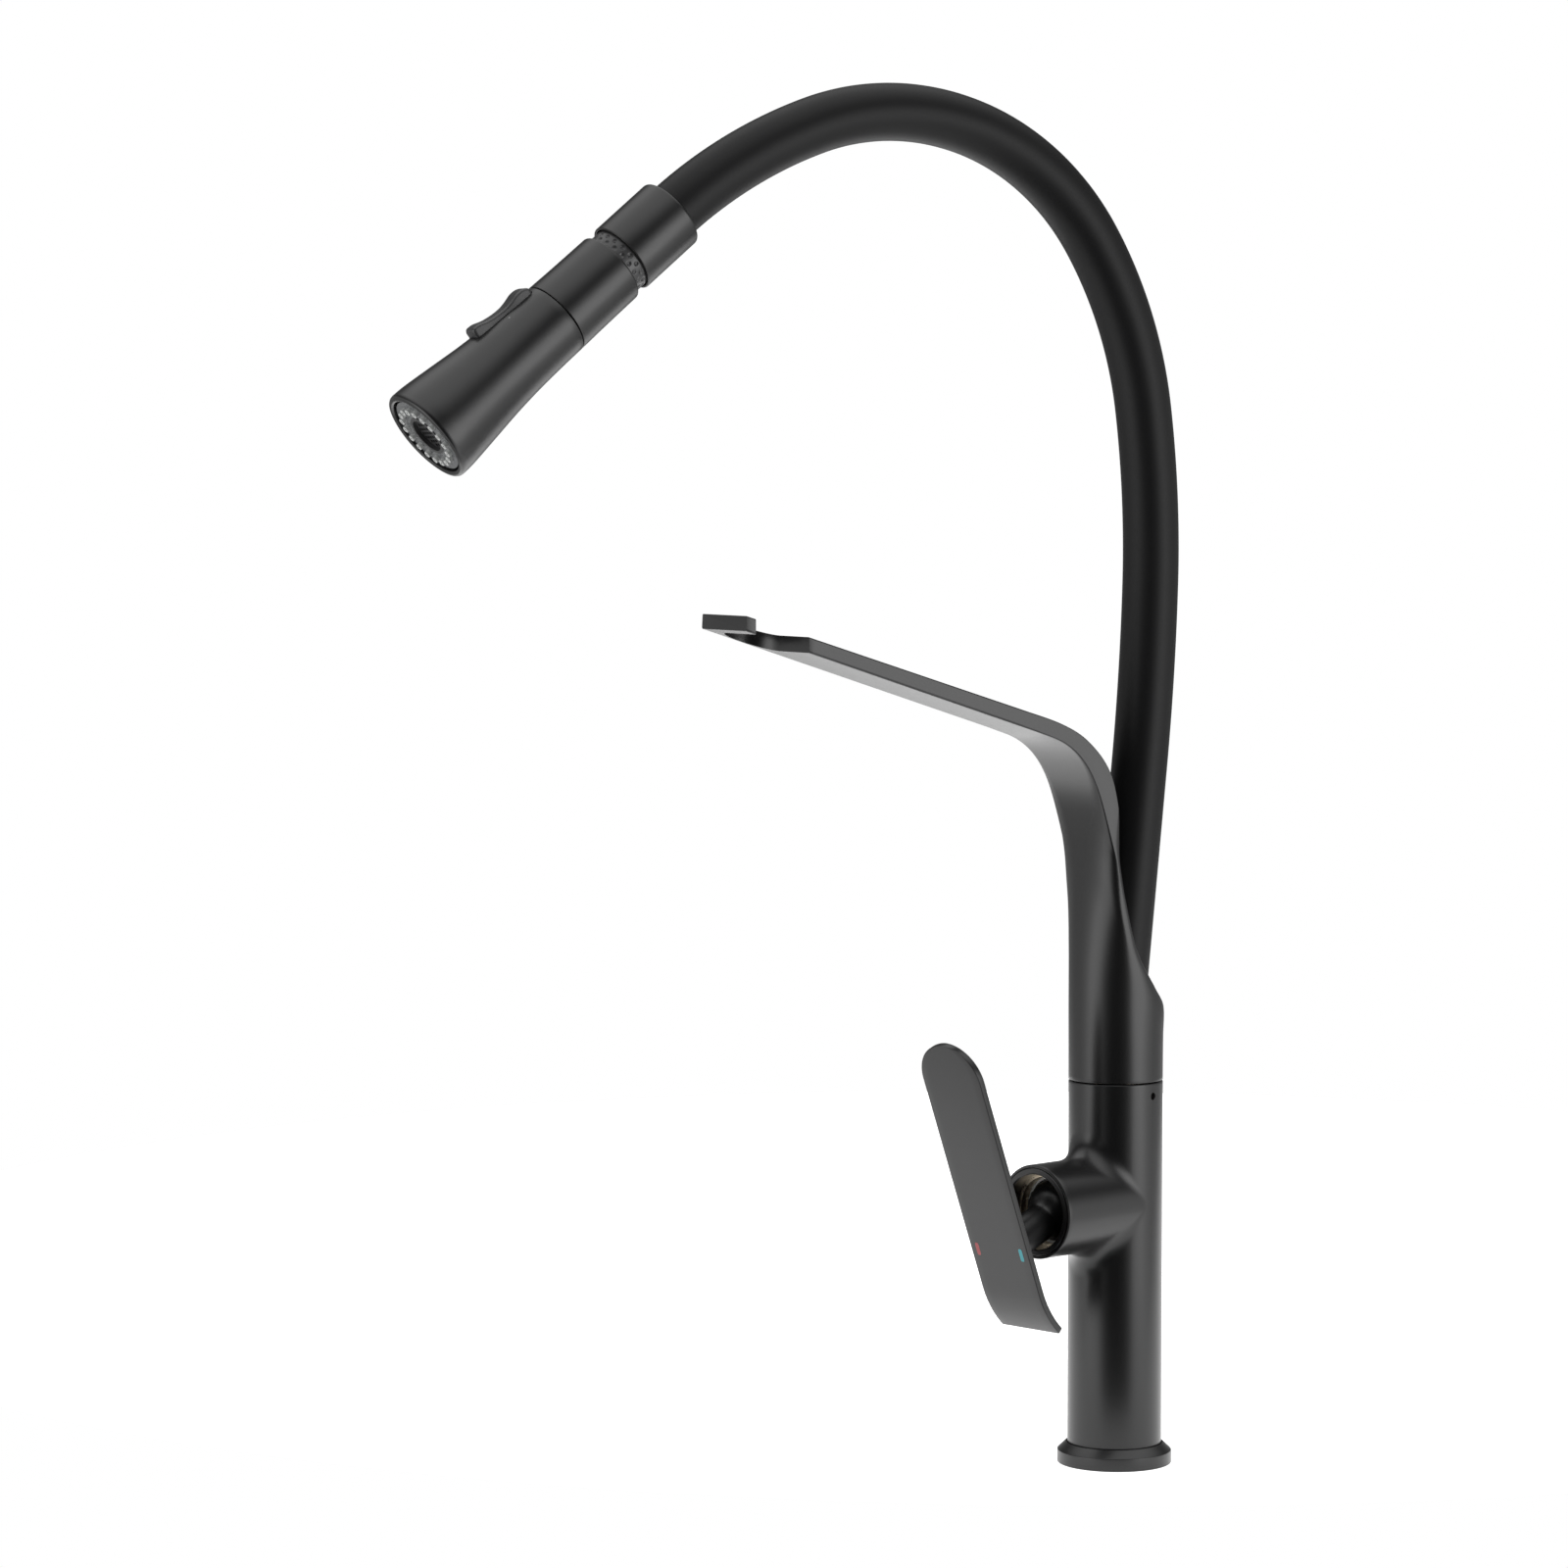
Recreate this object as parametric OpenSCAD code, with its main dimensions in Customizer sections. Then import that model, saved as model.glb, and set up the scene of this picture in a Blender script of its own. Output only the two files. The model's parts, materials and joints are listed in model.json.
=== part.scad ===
// Pull-down kitchen tap. Millimetres, Z up, origin on the worktop at the
// centre of the base. The arm and the hose lie in the plane X = 0 and reach
// toward -Y. The lever boss is turned boss_turn degrees from -Y toward +X.

/* [Column] */
// outside diameter of the column and of the arm above it
column_d = 44; // [38:0.5:50]
// height of the fixed column, up to the turning joint
column_h = 180; // [165:1:220]
// diameter of the base flange
flange_d = 53.5; // [52:0.5:70]
// height of the base flange
flange_h = 8; // [6:0.5:14]

/* [Lever boss] */
// height of the boss axis
boss_z = 123.4; // [118:0.2:130]
// reach of the boss face from the column axis
boss_reach = 55; // [52:0.5:66]
// angle between the boss and the arm
boss_turn = 16.5; // [0:0.5:30]
// diameter of the valve cartridge
cartridge_d = 35; // [32:0.5:36]
// lean of the lever plate in the drawn position
lever_lean = 21.5; // [18:0.5:24]
// width of the lever plate
lever_w = 36; // [30:0.5:42]
// thickness of the lever plate
lever_t = 3.2; // [2.4:0.1:4]
// length of the flat part of the plate above the neck
lever_up = 105; // [80:1:120]

/* [Arm] */
// reach of the arm tip from the column axis
arm_reach = 204.5; // [190:0.5:250]
// slope of the arm blade
arm_slope = 17.6; // [12:0.2:22]
// height of the arm tip's upper surface above the turning joint
arm_rise = 219.5; // [200:0.5:250]
// thickness of the arm blade
arm_t = 6.4; // [5:0.2:9]

/* [Hose] */
// outside diameter of the hose
hose_d = 26; // [21.5:0.1:27]
// length of each bent hose link
link_l = 82.5; // [78:0.5:90]

/* [Spray head] */
// length of the hose collar
collar_l = 31.4; // [30:0.2:36]
// outside diameter of the collar
collar_d = 33.5; // [32:0.1:34.5]
// outside diameter of the spray head at its middle joint
head_d = 34.8; // [34:0.1:38]
// outside diameter of the spray face
face_d = 45.2; // [44:0.1:55]
// radius of the ring of nozzles
nozzle_ring_r = 14.2; // [13.4:0.1:15]
// number of nozzles
nozzle_count = 18; // [8:1:20]

/* [Hidden] */
$fn = 96;
eps = 0.02;
gap = 0.35;
fit = 0.05;
column_r = column_d / 2;
flange_r = flange_d / 2;
wall = 4.5;
bore_r = column_r - wall;
boss_r = column_r - 0.2;
seat_r = cartridge_d / 2;
nut_r = seat_r + 0.9;
ring_seat_r = nut_r + 2.1;
ring_in_r = seat_r - 0.1;
pivot_v = boss_reach - 17;
disc_v = pivot_v - 19;
seat_v = disc_v - 5;
nut_v = boss_reach - 14;
ring_v = boss_reach - 7.5;
dome_r = 14.9;
neck_end = boss_reach - 14.6;
socket_r = 4.6;
stem_in = 17.2;
disc_y = stem_in * sin(lever_lean);
tube_r = 3.5;
tube_x = 7;
tube_top = 100;
block_top = 30;
flange_bore_r = 15;
inlet_l = 20;
stud_l = 22;
socket_z = column_h - 30;
spigot_top = column_h + 22;
spigot_r = bore_r - 3;
arm_z = column_h + 0.6;
arm_tip_z = column_h + arm_rise;
bend_z = arm_tip_z - (arm_reach - 60) * tan(arm_slope);
arm_run = 173.66;
blade_drop = arm_t / cos(arm_slope);
hose_r = hose_d / 2;
hose_bore = 5;
channel_r = hose_r + 0.9;
nipple_r = hose_r - 1.5;
hose_lean = -5.75;
hose_z = column_h + 26;
first_l = 123;
turns = [4, 9.5, 24.7, 40, 37.4, 20.2];
slot_r = hose_r + 0.3;
slot_u = arm_reach - 4.4 - slot_r;
slot_x = -6;
collar_r = collar_d / 2;
head_r = head_d / 2;
face_r = face_d / 2;
neck_r = 15;
neck_s = collar_l + 6.6;
joint_s = neck_s + 35;
face_s = joint_s + 81;
shell_in = 14;
core_r = 11;
disc_s = face_s - 17;
rim_r = face_r - 3.1;
aerator_r = 9.8;
button_s = joint_s + 19.6;
button_l = 33;
button_w = 9;
button_y = head_r - 2.2;
button_lift = 4;
nozzle_r = 1.5;

// heading of the hose, in degrees from vertical toward -Y, before link i
function heading(i) = i <= 1 ? hose_lean : heading(i - 1) + turns[i - 2];
// chord of a bent link, as a step [along -Y, up]
function step_len(t) = link_l * sin(t / 2) / (t / 2 * PI / 180);
function step(i) = step_len(turns[i]) * [
    sin(heading(i + 1) + turns[i] / 2),
    cos(heading(i + 1) + turns[i] / 2)];
// start of link i + 2 in the plane of the arm
function node_at(i) = i == 0
    ? [first_l * sin(hose_lean), hose_z + first_l * cos(hose_lean)]
    : node_at(i - 1) + step(i - 1);
head_at = node_at(6);
head_dir = heading(7);

// a ring or disc standing on z = z0
module tube(r_out, r_in, z0, z1) {
    translate([0, 0, z0]) difference() {
        cylinder(r = r_out, h = z1 - z0);
        translate([0, 0, -1]) cylinder(r = r_in, h = z1 - z0 + 2);
    }
}

// boss frame: local Z runs out along the boss, local Y is up
module in_boss() {
    rotate([0, 0, boss_turn]) translate([0, 0, boss_z]) rotate([90, 0, 0])
        children();
}

// lever frame: as the boss frame, at the pivot, with Z along the lever neck
module in_lever() {
    in_boss() translate([0, 0, pivot_v]) rotate([lever_lean, 0, 0]) children();
}

// hose frame at the start of bent link i (1 to 6); local Z runs up the hose
module in_link(i) {
    p = node_at(i - 1);
    translate([0, -p[0], p[1]]) rotate([heading(i), 0, 0]) children();
}

// spray frame: Z runs from the hose end to the spray face, Y is the button side
module in_head() {
    translate([0, -head_at[0], head_at[1]]) rotate([head_dir, 0, 0]) children();
}

module arc_rod(t, r) {
    bend_r = link_l / (t * PI / 180);
    translate([0, -bend_r, 0]) rotate([90, 0, 90])
        rotate_extrude(angle = t, $fn = 120) translate([bend_r, 0]) circle(r = r, $fn = 40);
}

// ---- fixed body -----------------------------------------------------------

module base_flange() {
    color([0.07, 0.07, 0.07]) difference() {
        rotate_extrude() polygon([
            [flange_bore_r, 0], [flange_r, 0], [flange_r, flange_h - 2],
            [column_r + 0.9, flange_h + 1.6], [column_r + gap, flange_h + 1.6],
            [column_r + gap, flange_h], [flange_bore_r, flange_h]]);
        tube(flange_r - 3, flange_r - 7, -1, 2.5);
    }
}

module base_seal() {
    color([0.12, 0.12, 0.12]) tube(flange_r - 3, flange_r - 7, 0, 2.5);
}

module column_body() {
    color([0.08, 0.08, 0.08]) difference() {
        union() {
            translate([0, 0, flange_h]) cylinder(r = column_r, h = column_h - flange_h);
            in_boss() cylinder(r = boss_r, h = boss_reach);
        }
        // room for the feed tubes
        translate([0, 0, flange_h - 1]) cylinder(r = bore_r, h = 96 - flange_h + 1);
        // socket for the turning spigot
        translate([0, 0, socket_z]) cylinder(r = bore_r, h = column_h);
        // cartridge seat, nut thread and trim ring seat
        in_boss() {
            translate([0, 0, seat_v]) cylinder(r = seat_r, h = 60);
            translate([0, 0, nut_v]) cylinder(r = nut_r, h = 60);
            translate([0, 0, ring_v]) cylinder(r = ring_seat_r, h = 60);
        }
        // hot and cold passages
        rotate([0, 0, boss_turn]) for (x = [-tube_x, tube_x]) {
            translate([x, 0, 95]) cylinder(r = tube_r, h = tube_top - 95);
            translate([x, 0, 98]) cylinder(r = 2.5, h = boss_z - 3 - 98);
            translate([x, 0, boss_z - 6]) rotate([90, 0, 0]) cylinder(r = 2.2, h = seat_v + 1);
        }
        // mixed water passage
        in_boss() translate([0, 8, 0]) cylinder(r = 3, h = seat_v + 1);
        translate([0, 0, boss_z + 4]) cylinder(r = 3.4, h = socket_z - boss_z);
        // grub screw hole
        in_grub() cylinder(r = 1.6, h = 20, center = true);
    }
}

// grub screw axis: at the top of the column, pointing inward
module in_grub() {
    rotate([0, 0, 111]) translate([0, -column_r + 2, column_h - 6]) rotate([-90, 0, 0])
        children();
}

module inlet_block() {
    color([0.79, 0.66, 0.36]) rotate([0, 0, boss_turn]) difference() {
        union() {
            cylinder(r = flange_bore_r - fit, h = flange_h + 1);
            translate([0, 0, flange_h]) cylinder(r = bore_r, h = block_top - flange_h);
        }
        for (x = [-tube_x, tube_x]) {
            translate([x, 0, -1]) cylinder(r = 4.5, h = inlet_l + 1);
            translate([x, 0, 0]) cylinder(r = 2.5, h = 60);
            translate([x, 0, block_top - 6]) cylinder(r = tube_r, h = 20);
        }
        for (y = [-9.6, 9.6]) translate([0, y, -1]) cylinder(r = 2.5, h = stud_l + 1);
    }
}

module feed_tube(x) {
    rotate([0, 0, boss_turn]) translate([x, 0, 0]) tube(tube_r, 2.5, block_top - 6, tube_top);
}

module hot_feed_tube() {
    color([0.72, 0.45, 0.3]) feed_tube(-tube_x);
}

module cold_feed_tube() {
    color([0.72, 0.45, 0.3]) feed_tube(tube_x);
}

module cartridge_port_seals() {
    color([0.1, 0.1, 0.1]) in_boss() {
        for (x = [-tube_x, tube_x]) translate([x, -6, 0]) tube(4.2, 2.5, seat_v, seat_v + 1.2);
        translate([0, 8, 0]) tube(4.2, 3, seat_v, seat_v + 1.2);
    }
}

module cartridge_housing() {
    color([0.85, 0.85, 0.82]) in_boss() difference() {
        union() {
            translate([0, 0, seat_v]) cylinder(r = seat_r, h = nut_v - seat_v);
            translate([0, 0, nut_v]) cylinder(r = seat_r - 1.9, h = 2);
        }
        for (x = [-tube_x, tube_x]) translate([x, -6, 0]) {
            cylinder(r = 4.2, h = seat_v + 1.2);
            cylinder(r = 2.5, h = disc_v);
        }
        translate([0, 8, 0]) cylinder(r = 4.2, h = seat_v + 1.2);
        translate([0, 8, 0]) cylinder(r = 3, h = disc_v);
        translate([0, 0, disc_v - 2]) cylinder(r = seat_r - 2.2, h = 7.2);
        translate([0, 0, disc_v + 5]) cylinder(r = 12.6, h = 60);
        translate([0, 0, pivot_v]) sphere(r = dome_r + gap);
    }
}

module fixed_ceramic_disc() {
    color([0.93, 0.93, 0.9]) in_boss() difference() {
        translate([0, 0, disc_v - 2]) cylinder(r = seat_r - 2.2, h = 2);
        for (x = [-tube_x, tube_x]) translate([x, -6, 0]) cylinder(r = 2.5, h = 40);
        translate([0, 8, 0]) cylinder(r = 3, h = 40);
    }
}

module cartridge_nut() {
    color([0.78, 0.62, 0.38]) in_boss() difference() {
        tube(nut_r, seat_r - 1.9, nut_v, ring_v);
        translate([0, 0, pivot_v]) sphere(r = dome_r + gap);
    }
}

module boss_trim_ring() {
    color([0.07, 0.07, 0.07]) in_boss() rotate_extrude() polygon([
        [ring_in_r, ring_v], [ring_seat_r - 0.35, ring_v],
        [ring_seat_r - 0.35, boss_reach + 0.1], [ring_seat_r - 0.6, boss_reach + 0.35],
        [ring_in_r + 0.5, boss_reach + 0.35], [ring_in_r, boss_reach - 0.2]]);
}

module swivel_bush() {
    color([0.9, 0.9, 0.86]) tube(bore_r, spigot_r + gap, socket_z + 14, socket_z + 21);
}

module swivel_grub_screw() {
    color([0.75, 0.75, 0.77]) in_grub() difference() {
        cylinder(r = 1.6 - fit, h = column_r - 2 - spigot_r + 1.2);
        translate([0, 0, -1]) cylinder(r = 0.85, h = 2.6, $fn = 6);
    }
}

// ---- lever ----------------------------------------------------------------

module lever_carrier() {
    color([0.88, 0.88, 0.84]) in_boss() difference() {
        union() {
            translate([0, 0, disc_v + 5.4]) cylinder(r = 12.2, h = 3.4);
            translate([0, 0, disc_v + 5.4]) cylinder(r = 8.6, h = pivot_v - disc_v - 0.4);
        }
        translate([-3.6, -9.5, 0]) cube([7.2, 22, 80]);
        translate([-5.9, -7.5, disc_v]) cube([11.8, 22, 5.6]);
        translate([-20, 0, pivot_v]) rotate([0, 90, 0]) cylinder(r = 1.8, h = 40);
    }
}

module moving_ceramic_disc() {
    color([0.95, 0.95, 0.92]) in_boss() difference() {
        translate([0, disc_y, 0]) union() {
            translate([0, 0, disc_v]) cylinder(r = 8.8, h = 2.4);
            translate([-5.4, -6.4, disc_v]) cube([10.8, 12.8, 4.6]);
        }
        translate([-3, disc_y - 3, disc_v - 1]) cube([6, 6, 1.6]);
        translate([-3.6, disc_y - 4.2, disc_v + 1.4]) cube([7.2, 8.4, 6]);
    }
}

module cartridge_stem() {
    color([0.6, 0.6, 0.62]) in_boss() translate([0, 0, pivot_v]) {
        rotate([0, 90, 0]) cylinder(r = 1.45, h = 16.4, center = true);
        intersection() {
            rotate([lever_lean, 0, 0]) translate([-3.2, -3.2, -stem_in]) cube([6.4, 6.4, stem_in + 13.5]);
            sphere(r = stem_in);
        }
    }
}

module plate_profile() {
    bend_r = 50;
    low = 20;
    polygon(concat(
        [[-low, 0], [lever_up, 0], [lever_up, lever_t], [-low, lever_t]],
        [for (a = [4:4:28]) [-low - bend_r * sin(a), lever_t - bend_r * (1 - cos(a))]],
        [for (a = [28:-4:4]) [-low - (bend_r - lever_t) * sin(a),
            -(bend_r - lever_t) * (1 - cos(a))]]));
}

// half section of the domed cap and the neck
module neck_section(end) {
    difference() {
        union() {
            intersection() {
                circle(r = dome_r);
                translate([0, -0.5]) square([40, 40]);
            }
            polygon([[0, 8], [8.4, 8], [8.4, 24], [11.5, end + 1], [0, end + 1]]);
        }
        circle(r = 11.2);
        translate([-60, -60]) square([60, 200]);
        // socket of the cartridge stem
        translate([0, 2]) square([socket_r, 11.5 + fit]);
    }
}

module handle_lever() {
    color([0.08, 0.08, 0.08]) in_lever() {
        difference() {
            // domed cap over the cartridge and the neck
            rotate_extrude() neck_section(neck_end);
            // grub screw hole
            translate([0, -20, 12.3]) rotate([-90, 0, 0]) cylinder(r = 1.6, h = 18);
        }
        // plate
        translate([0, 0, neck_end]) difference() {
            intersection() {
                rotate([90, 0, 90]) translate([0, 0, -lever_w / 2])
                    linear_extrude(height = lever_w) plate_profile();
                union() {
                    translate([-lever_w / 2, -60, -40]) cube([lever_w, 60 + lever_up - lever_w / 2, 80]);
                    translate([0, lever_up - lever_w / 2, -40]) cylinder(r = lever_w / 2, h = 80);
                }
            }
            for (x = [-lever_w / 2 + 4.4, lever_w / 2 - 4.4])
                translate([x - 1.1, -3.2, lever_t - 0.4]) cube([2.2, 6.4, 2]);
        }
    }
}

module mark(x) {
    in_lever() translate([x - 1.1, -3.2, neck_end + lever_t - 0.4]) cube([2.2, 6.4, 0.42]);
}

module hot_mark() {
    color([0.75, 0.2, 0.2]) mark(-lever_w / 2 + 4.4);
}

module cold_mark() {
    color([0.15, 0.6, 0.7]) mark(lever_w / 2 - 4.4);
}

module lever_grub_screw() {
    color([0.75, 0.75, 0.77]) in_lever() translate([0, -8.2, 12.3]) rotate([-90, 0, 0])
        cylinder(r = 1.6 - fit, h = 5 - fit);
}

// ---- arm ------------------------------------------------------------------

// height of an outline point of the arm, given as it is when the bend lies arm_run over the column
function rise(h) = column_h + h * (bend_z - column_h) / arm_run;

// rear and upper edge of the arm, from the tip back down to the stem
function arm_top_line() = [
    [arm_reach + 0.4, arm_tip_z - blade_drop], [arm_reach, arm_tip_z], [60, rise(arm_run)],
    [49.2, rise(170.36)], [36.7, rise(164.76)], [25, rise(156.96)],
    [17.6, rise(147.36)], [13.6, rise(134.96)], [9.6, rise(114.66)],
    [5.5, rise(90.76)], [1.4, rise(72.6)], [-3.6, rise(56)],
    [-9.5, rise(48.1)], [-14, rise(43.1)], [-17.3, rise(39.6)],
    [-22, rise(34)], [-30, rise(24)]];

// lower edge of the blade where the arm leaves the stem
blade_root = [44, arm_tip_z - blade_drop - (arm_reach - 44) * tan(arm_slope - 0.3)];

// side outline of the round stem and its curve into the blade
module stem_outline() {
    polygon(concat(
        [[-30, arm_z], [column_r, arm_z], [column_r, rise(50)],
            [column_r - 0.8, rise(82)], [column_r - 1.4, rise(104.96)],
            [column_r - 0.5, rise(121.96)], [24.5, rise(135.96)],
            [29.5, rise(146.96)], [36.5, rise(155.26)], blade_root],
        arm_top_line()));
}

// side outline of the full-width blade
module blade_outline() {
    polygon(concat(
        [[-8, rise(42)], [0, rise(56)], [6, rise(82)],
            [9.8, rise(101.96)], [11.2, rise(112.66)], [13.9, rise(131.76)],
            [19.4, rise(146.06)], [26.8, rise(154.16)], [36, rise(158.96)], blade_root],
        [for (i = [0:11]) arm_top_line()[i]]));
}

module arm_body() {
    color([0.08, 0.08, 0.08]) difference() {
        union() {
            intersection() {
                rotate([90, 0, -90]) translate([0, 0, -40])
                    linear_extrude(height = 80) stem_outline();
                translate([0, 0, arm_z]) cylinder(r = column_r, h = 240);
            }
            rotate([90, 0, -90]) translate([0, 0, -column_r])
                linear_extrude(height = column_d) blade_outline();
        }
        // spigot bore
        translate([0, 0, arm_z - 1]) cylinder(r = spigot_r, h = spigot_top - arm_z + 1);
        // hose channel up the back
        translate([0, 0, hose_z]) rotate([hose_lean, 0, 0])
            translate([0, 0, -4 + eps]) cylinder(r = channel_r, h = 300);
        // cradle slot, open toward +X
        translate([slot_x, -slot_u, bend_z - 50]) cylinder(r = slot_r, h = 200);
        translate([slot_x, -slot_u - slot_r, bend_z - 50]) cube([60, slot_r * 2, 200]);
    }
}

module swivel_spigot() {
    color([0.79, 0.66, 0.36]) difference() {
        translate([0, 0, socket_z + 0.6]) cylinder(r = spigot_r, h = spigot_top - socket_z - 0.6);
        translate([0, 0, socket_z]) cylinder(r = 5, h = 80);
        // groove for the grub screw
        tube(spigot_r + 1, spigot_r - 2, column_h - 6 - 2.2, column_h - 6 + 2.2);
        for (z = [socket_z + 4, socket_z + 9]) tube(spigot_r + 1, spigot_r - 1, z, z + 3);
    }
}

module swivel_o_rings() {
    color([0.1, 0.1, 0.1]) for (z = [socket_z + 4, socket_z + 9])
        tube(bore_r - gap, spigot_r - 1, z, z + 3);
}

module hose_union() {
    color([0.79, 0.66, 0.36]) difference() {
        translate([0, 0, hose_z]) rotate([hose_lean, 0, 0])
            translate([0, 0, eps - 4]) cylinder(r = 8, h = 4 - eps);
        translate([-20, -20, spigot_top - 20]) cube([40, 40, 20]);
        translate([0, 0, hose_z - 10]) cylinder(r = 4, h = 40);
    }
}

// ---- hose -----------------------------------------------------------------

module hose_link_1() {
    color([0.06, 0.06, 0.06]) translate([0, 0, hose_z]) rotate([hose_lean, 0, 0]) difference() {
        translate([0, 0, gap]) cylinder(r = hose_r, h = first_l - gap, $fn = 40);
        translate([0, 0, -1]) cylinder(r = hose_bore, h = first_l + 2, $fn = 24);
        translate([0, 0, first_l]) sphere(r = hose_r + gap, $fn = 64);
    }
}

// bent link i (1 to 6) with a ball at its start and a cup at its end
module bent_link(i) {
    t = turns[i - 1];
    color([0.06, 0.06, 0.06]) in_link(i) difference() {
        union() {
            sphere(r = hose_r, $fn = 64);
            arc_rod(t, hose_r);
        }
        arc_rod(t, hose_bore);
        rotate([180, 0, 0]) cylinder(r = hose_bore, h = 30, $fn = 24);
        if (i < 6) link_end(t) sphere(r = hose_r + gap, $fn = 64);
    }
}

// frame at the far end of a bent link
module link_end(t) {
    bend_r = link_l / (t * PI / 180);
    translate([0, -bend_r, 0]) rotate([t, 0, 0]) translate([0, bend_r, 0]) children();
}

module hose_link_2() {
    bent_link(1);
}

module hose_link_3() {
    bent_link(2);
}

module hose_link_4() {
    bent_link(3);
}

module hose_link_5() {
    bent_link(4);
}

module hose_link_6() {
    bent_link(5);
}

module hose_link_7() {
    bent_link(6);
}

// ---- spray head -----------------------------------------------------------

module hose_collar() {
    color([0.08, 0.08, 0.08]) in_head() rotate_extrude() polygon([
        [nipple_r, 0], [collar_r - 0.8, 0], [collar_r, 0.8],
        [collar_r, collar_l - 0.8], [collar_r - 0.6, collar_l],
        [neck_r + 0.6, collar_l], [neck_r + 0.6, 26], [nipple_r, 26]]);
}

module collar_nipple() {
    color([0.79, 0.66, 0.36]) in_head() rotate_extrude() polygon([
        [hose_bore, 0], [nipple_r, 0], [nipple_r, 26], [7.6, 26], [7.6, neck_s - 2],
        [9.2, neck_s - 2], [9.2, neck_s], [hose_bore, neck_s]]);
}

module neck_ring() {
    color([0.05, 0.05, 0.05]) in_head() difference() {
        rotate_extrude() polygon([
            [8, 28], [neck_r, 28], [neck_r, neck_s], [shell_in, neck_s],
            [shell_in, neck_s + 8], [9.6, neck_s + 8], [9.6, neck_s - 2.4], [8, neck_s - 2.4]]);
        for (k = [0:23]) rotate([0, 0, k * 15]) {
            translate([neck_r, 0, neck_s - 1.7]) rotate([0, 90, 0])
                cylinder(r = 0.75, h = 1, center = true, $fn = 16);
            rotate([0, 0, 7.5]) translate([neck_r, 0, neck_s - 4.4]) rotate([0, 90, 0])
                cylinder(r = 0.75, h = 1, center = true, $fn = 16);
        }
    }
}

module upper_shell() {
    color([0.08, 0.08, 0.08]) in_head() rotate_extrude() polygon([
        [shell_in, neck_s], [16, neck_s], [16.7, neck_s + 0.7],
        [head_r - 0.3, joint_s - 6], [head_r, joint_s - 0.4], [head_r - 0.3, joint_s],
        [shell_in, joint_s]]);
}

module lower_shell() {
    color([0.08, 0.08, 0.08]) in_head() difference() {
        rotate_extrude() polygon([
            [12, joint_s - 11], [shell_in, joint_s - 11], [shell_in, joint_s + 0.5],
            [head_r - 0.3, joint_s + 0.5], [head_r, joint_s + 0.9],
            [head_r + 0.3, joint_s + 14], [head_r + 0.9, joint_s + 28],
            [head_r + 2, joint_s + 43], [face_r - 1.9, joint_s + 58],
            [face_r - 0.5, joint_s + 70], [face_r, face_s - 2], [face_r - 0.9, face_s - 0.5],
            [face_r - 1.8, face_s], [rim_r, face_s], [rim_r, disc_s - 2],
            [14.6, disc_s - 10], [14.6, joint_s + 5], [12, joint_s + 2]]);
        // button pocket and pin holes
        translate([-button_w / 2 - 0.4, 12, button_s - button_l / 2 - 0.5])
            cube([button_w + 0.8, 20, button_l + 1]);
        translate([-7.6, button_y, button_s]) rotate([0, 90, 0]) cylinder(r = 1, h = 15.2);
    }
}

module filter_washer() {
    color([0.3, 0.3, 0.3]) in_head() tube(9.6, 5, neck_s + 5, neck_s + 8);
}

module water_core() {
    color([0.82, 0.82, 0.8]) in_head() difference() {
        union() {
            translate([0, 0, neck_s + 8]) cylinder(r = shell_in, h = 4);
            translate([0, 0, neck_s + 8]) cylinder(r = core_r, h = disc_s + 4 - neck_s - 8);
            translate([0, 0, disc_s]) cylinder(r = rim_r, h = 4);
        }
        translate([0, 0, neck_s + 7]) cylinder(r = 7.5, h = 17);
        translate([0, 0, neck_s + 20]) cylinder(r = 4, h = 200);
        translate([0, 0, disc_s - 4]) cylinder(r = 6, h = 20);
        for (k = [0:5]) rotate([0, 0, k * 60])
            translate([nozzle_ring_r, 0, disc_s - 1]) cylinder(r = 2, h = 10, $fn = 24);
        // diverter bore
        translate([0, -5.4, button_s + 9.5]) rotate([-90, 0, 0]) cylinder(r = 3.4, h = 30);
    }
}

module check_valve_seat() {
    color([0.9, 0.9, 0.88]) in_head() difference() {
        translate([0, 0, neck_s + 8]) cylinder(r = 7.5, h = 14);
        translate([0, 0, neck_s + 7]) cylinder(r = 4, h = 4.5);
        translate([0, 0, neck_s + 10]) cylinder(r = 6, h = 20);
    }
}

module check_poppet() {
    color([0.2, 0.45, 0.75]) in_head() union() {
        translate([0, 0, neck_s + 10]) cylinder(r = 5.4, h = 2);
        translate([0, 0, neck_s + 10]) cylinder(r = 1.5, h = 8);
    }
}

module nozzle_pad() {
    color([0.7, 0.7, 0.68]) in_head() difference() {
        union() {
            tube(rim_r - 1, aerator_r, disc_s + 4, face_s - 4);
            tube(rim_r, aerator_r, disc_s + 4, disc_s + 6);
            for (k = [0:nozzle_count - 1]) rotate([0, 0, k * 360 / nozzle_count])
                translate([nozzle_ring_r, 0, face_s - 5]) cylinder(r = nozzle_r, h = 5.4, $fn = 32);
        }
        tube(nozzle_ring_r + 1.6, nozzle_ring_r - 1.6, disc_s + 3, disc_s + 8);
        for (k = [0:nozzle_count - 1]) rotate([0, 0, k * 360 / nozzle_count])
            translate([nozzle_ring_r, 0, disc_s]) cylinder(r = 0.5, h = 40, $fn = 16);
    }
}

module face_plate() {
    color([0.35, 0.36, 0.37, 0.6]) in_head() difference() {
        tube(rim_r - 1, aerator_r, face_s - 4, face_s - 1.4);
        for (k = [0:nozzle_count - 1]) rotate([0, 0, k * 360 / nozzle_count])
            translate([nozzle_ring_r, 0, face_s - 10]) cylinder(r = nozzle_r, h = 20, $fn = 32);
    }
}

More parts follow.
